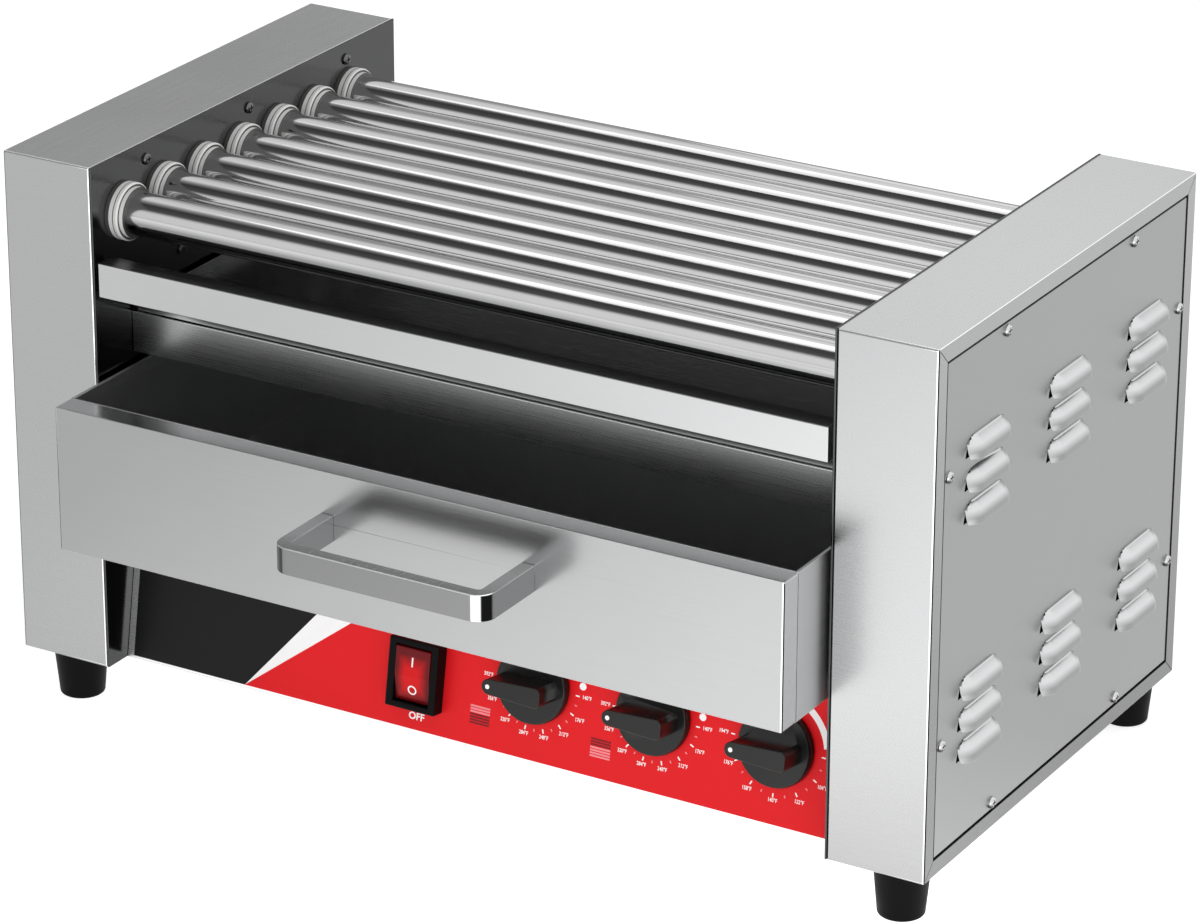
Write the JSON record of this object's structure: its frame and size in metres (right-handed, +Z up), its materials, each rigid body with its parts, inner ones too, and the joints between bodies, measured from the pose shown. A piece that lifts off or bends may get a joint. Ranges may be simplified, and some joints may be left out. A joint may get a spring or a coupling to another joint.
{
  "type": "roller grill with warming drawer",
  "caption": "Countertop roller grill: turning heated tubes between two tall side housings, over a pull-out drip tray, a warming drawer and a leaning control panel.",
  "frame": {"origin": "on the floor, under the middle of the whole part with its drawer open as in the picture", "axes": "+X to the right along the rollers, +Y to the back, +Z up"},
  "size_m": [0.5932, 0.4104, 0.329],
  "materials": {
    "shell_steel": "brushed, folded sheet",
    "plate_steel": "brushed, darker from reflections",
    "plated_steel": "dull plated sheet, hidden inside",
    "roller_chrome": "polished",
    "fastener_chrome": "bright plated",
    "foot_rubber": "satin black",
    "skin_charcoal": "printed film",
    "skin_white": "printed film",
    "skin_red": "printed film",
    "bush_plastic": "off-white, low friction",
    "knob_plastic": "dark grey, moulded",
    "switch_plastic": "black, moulded",
    "rocker_plastic": "translucent red",
    "chain_steel": "oiled",
    "motor_paint": "satin dark grey",
    "heater_steel": "heat-dulled tube",
    "thermostat_metal": "pressed case",
    "gland_plastic": "black",
    "terminal_plastic": "ivory"
  },
  "bodies": {
    "cabinet": {"left_housing": "shell_steel", "right_housing": "shell_steel", "left_inner_plate": "plate_steel", "right_inner_plate": "plate_steel", "left_cover": "shell_steel", "right_cover": "shell_steel", "cover_screws": "fastener_chrome", "plate_screws": "fastener_chrome", "foot_front_left": "foot_rubber", "foot_front_right": "foot_rubber", "foot_rear_left": "foot_rubber", "foot_rear_right": "foot_rubber", "foot_screws": "fastener_chrome", "base_pan": "plated_steel", "back_panel": "shell_steel", "cord_gland": "gland_plastic", "control_panel": "shell_steel", "skin_charcoal": "skin_charcoal", "skin_stripe": "skin_white", "skin_red": "skin_red", "front_crossbar": "shell_steel", "drawer_runners": "plated_steel", "tray_ledges": "plated_steel", "bushes_left": "bush_plastic", "bushes_right": "bush_plastic", "heating_rods": "heater_steel", "rod_brackets": "plated_steel", "drive_chain": "chain_steel", "gear_motor": "motor_paint", "motor_bracket": "plated_steel", "thermostats": "thermostat_metal", "power_switch": "switch_plastic", "drawer_heater": "heater_steel", "heater_shelf": "plated_steel", "terminal_block": "terminal_plastic"},
    "drawer": {"drawer_body": "shell_steel", "drawer_front": "shell_steel", "drawer_handle": "shell_steel", "handle_screws": "fastener_chrome"},
    "tray": {"drip_tray": "shell_steel"},
    "motor_output": {"motor_shaft": "fastener_chrome", "motor_sprocket": "chain_steel"},
    "knob_1": {"knob_1": "knob_plastic"},
    "knob_2": {"knob_2": "knob_plastic"},
    "knob_3": {"knob_3": "knob_plastic"},
    "rocker": {"switch_rocker": "rocker_plastic"},
    "roller_1": {"roller_1": "roller_chrome", "sprocket_1": "chain_steel"},
    "roller_2": {"roller_2": "roller_chrome", "sprocket_2": "chain_steel"},
    "roller_3": {"roller_3": "roller_chrome", "sprocket_3": "chain_steel"},
    "roller_4": {"roller_4": "roller_chrome", "sprocket_4": "chain_steel"},
    "roller_5": {"roller_5": "roller_chrome", "sprocket_5": "chain_steel"},
    "roller_6": {"roller_6": "roller_chrome", "sprocket_6": "chain_steel"},
    "roller_7": {"roller_7": "roller_chrome", "sprocket_7": "chain_steel"}
  },
  "joints": [
    {"name": "drawer_slide", "type": "slide", "parent": "cabinet", "child": "drawer", "axis": [0, -1, 0], "range_m": [-0.0446, 0.165]},
    {"name": "drip_tray_slide", "type": "slide", "parent": "cabinet", "child": "tray", "axis": [0, -1, 0], "range_m": [0, 0.25]},
    {"name": "roller_1_spin", "type": "hinge", "parent": "cabinet", "child": "roller_1", "pos_m": [0, -0.07985, 0.295], "axis": [1, 0, 0], "continuous": true, "deforming": ["drive_chain"]},
    {"name": "roller_2_spin", "type": "hinge", "parent": "cabinet", "child": "roller_2", "pos_m": [0, -0.04175, 0.295], "axis": [1, 0, 0], "continuous": true},
    {"name": "roller_3_spin", "type": "hinge", "parent": "cabinet", "child": "roller_3", "pos_m": [0, -0.00365, 0.295], "axis": [1, 0, 0], "continuous": true},
    {"name": "roller_4_spin", "type": "hinge", "parent": "cabinet", "child": "roller_4", "pos_m": [0, 0.03445, 0.295], "axis": [1, 0, 0], "continuous": true},
    {"name": "roller_5_spin", "type": "hinge", "parent": "cabinet", "child": "roller_5", "pos_m": [0, 0.07255, 0.295], "axis": [1, 0, 0], "continuous": true},
    {"name": "roller_6_spin", "type": "hinge", "parent": "cabinet", "child": "roller_6", "pos_m": [0, 0.11065, 0.295], "axis": [1, 0, 0], "continuous": true},
    {"name": "roller_7_spin", "type": "hinge", "parent": "cabinet", "child": "roller_7", "pos_m": [0, 0.14875, 0.295], "axis": [1, 0, 0], "continuous": true},
    {"name": "motor_spin", "type": "hinge", "parent": "cabinet", "child": "motor_output", "pos_m": [0, 0.03445, 0.18037], "axis": [1, 0, 0], "continuous": true},
    {"name": "knob_1_turn", "type": "hinge", "parent": "cabinet", "child": "knob_1", "pos_m": [0.0373, -0.08547, 0.07283], "axis": [0, -0.9853, 0.1711], "range_deg": [-22, 190]},
    {"name": "knob_2_turn", "type": "hinge", "parent": "cabinet", "child": "knob_2", "pos_m": [0.1129, -0.08547, 0.07283], "axis": [0, -0.9853, 0.1711], "range_deg": [-22, 190]},
    {"name": "knob_3_turn", "type": "hinge", "parent": "cabinet", "child": "knob_3", "pos_m": [0.1885, -0.08547, 0.07283], "axis": [0, -0.9853, 0.1711], "range_deg": [-22, 190]},
    {"name": "switch_rock", "type": "hinge", "parent": "cabinet", "child": "rocker", "pos_m": [-0.036, -0.09288, 0.06346], "axis": [1, 0, 0], "range_deg": [-14, 0]}
  ],
  "couplings": [
    {"joint": "roller_2_spin", "follows": "roller_1_spin", "ratio": 1},
    {"joint": "roller_3_spin", "follows": "roller_1_spin", "ratio": 1},
    {"joint": "roller_4_spin", "follows": "roller_1_spin", "ratio": 1},
    {"joint": "roller_5_spin", "follows": "roller_1_spin", "ratio": 1},
    {"joint": "roller_6_spin", "follows": "roller_1_spin", "ratio": 1},
    {"joint": "roller_7_spin", "follows": "roller_1_spin", "ratio": 1},
    {"joint": "motor_spin", "follows": "roller_1_spin", "ratio": 1.3333}
  ]
}
